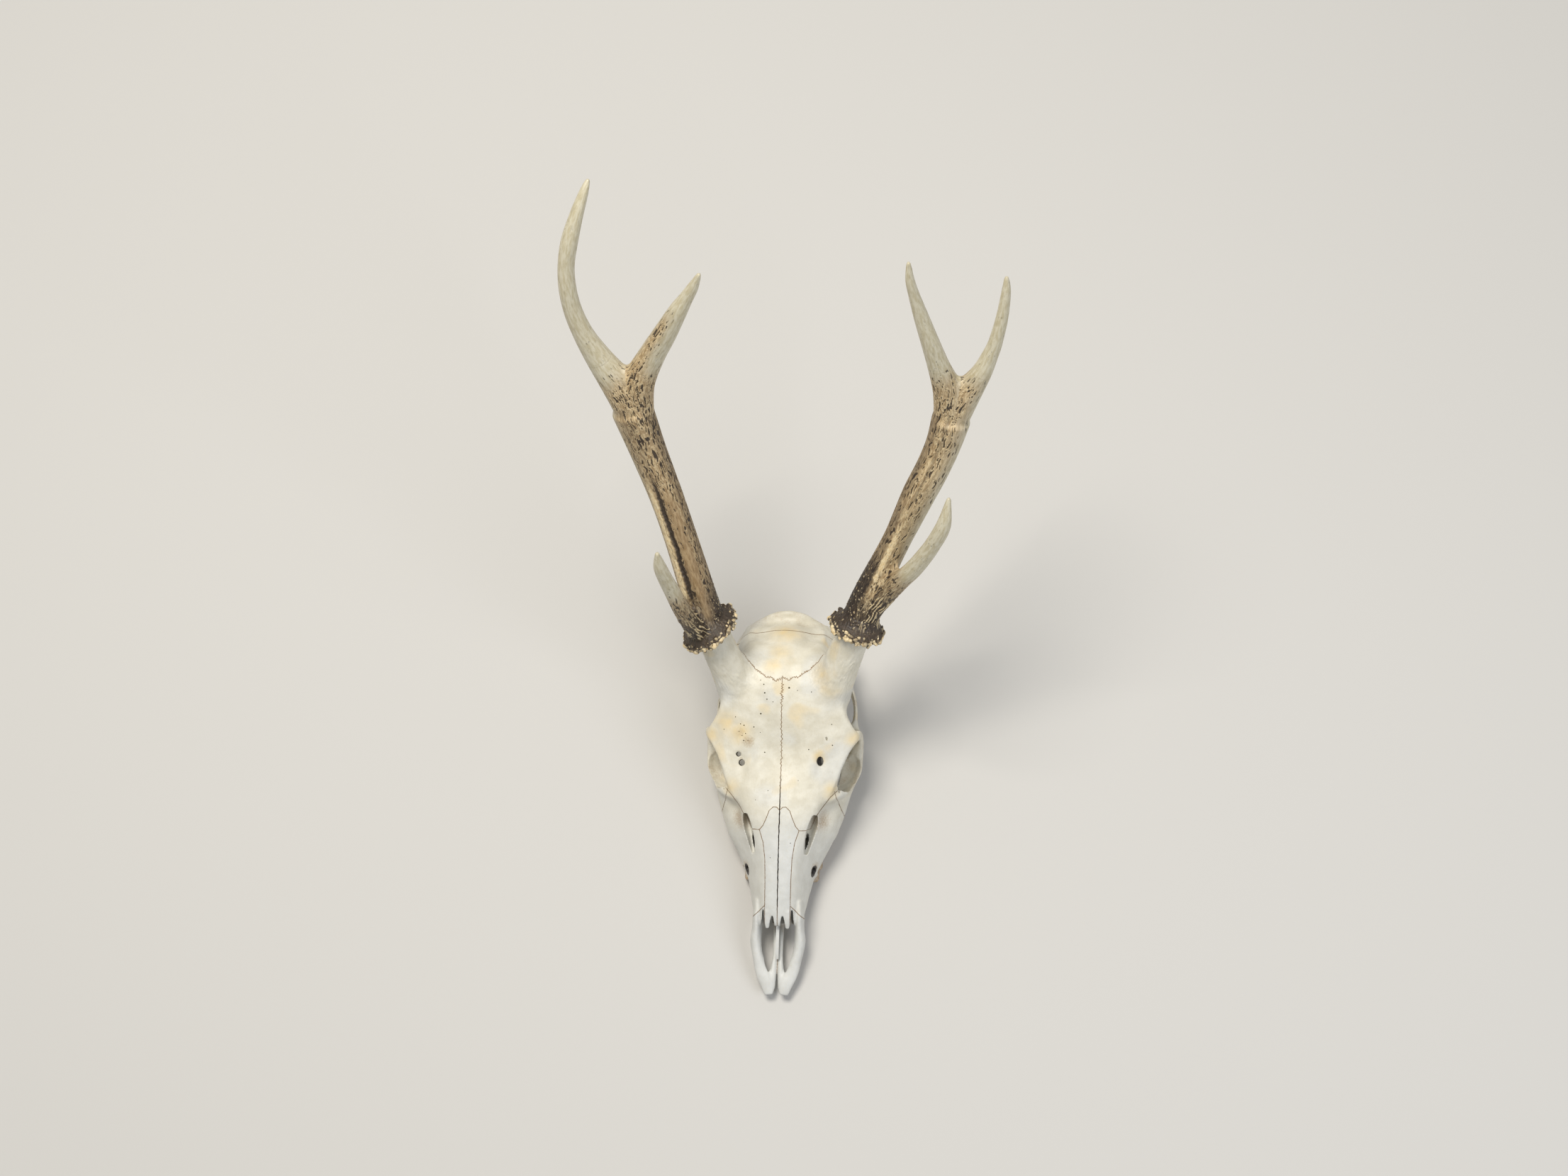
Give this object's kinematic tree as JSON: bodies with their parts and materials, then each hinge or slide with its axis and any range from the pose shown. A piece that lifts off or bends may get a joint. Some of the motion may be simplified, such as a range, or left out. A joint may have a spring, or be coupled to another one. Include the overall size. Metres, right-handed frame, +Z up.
{
  "type": "sika deer skull with antlers",
  "caption": "Upper skull of a sika stag, no lower jaw, with branched antlers, lying on its teeth and condyles.",
  "frame": {"origin": "centre of the bounding box at the floor on which the teeth and condyles stand", "axes": "+Y from the nose towards the back of the skull and the antlers, +X to the viewer's right in the picture, +Z up"},
  "size_m": [0.3014, 0.4538, 0.4375],
  "materials": {
    "bone": "dry bone, ivory, matt to slightly waxy",
    "muzzle_bone": "dry bone, cool grey white, matt",
    "burr": "rough dark antler with pale pearls",
    "antler": "grooved antler, dark in the grooves, tan on the ridges",
    "antler_tip": "smooth polished antler, pale"
  },
  "bodies": {
    "root": {"maxilla_left": "bone", "maxilla_right": "bone", "zygomatic_left": "bone", "zygomatic_right": "bone", "frontal_left": "bone", "frontal_right": "bone", "braincase": "bone", "occipital": "bone", "nasal_left": "muzzle_bone", "nasal_right": "muzzle_bone", "premaxilla_left": "muzzle_bone", "premaxilla_right": "muzzle_bone", "vomer": "muzzle_bone", "burr_left": "burr", "burr_right": "burr", "beam_left": "antler", "beam_right": "antler", "brow_tine_left": "antler_tip", "brow_tine_right": "antler_tip", "inner_tine_left": "antler_tip", "inner_tine_right": "antler_tip", "beam_top_left": "antler_tip", "beam_top_right": "antler_tip"}
  },
  "joints": []
}
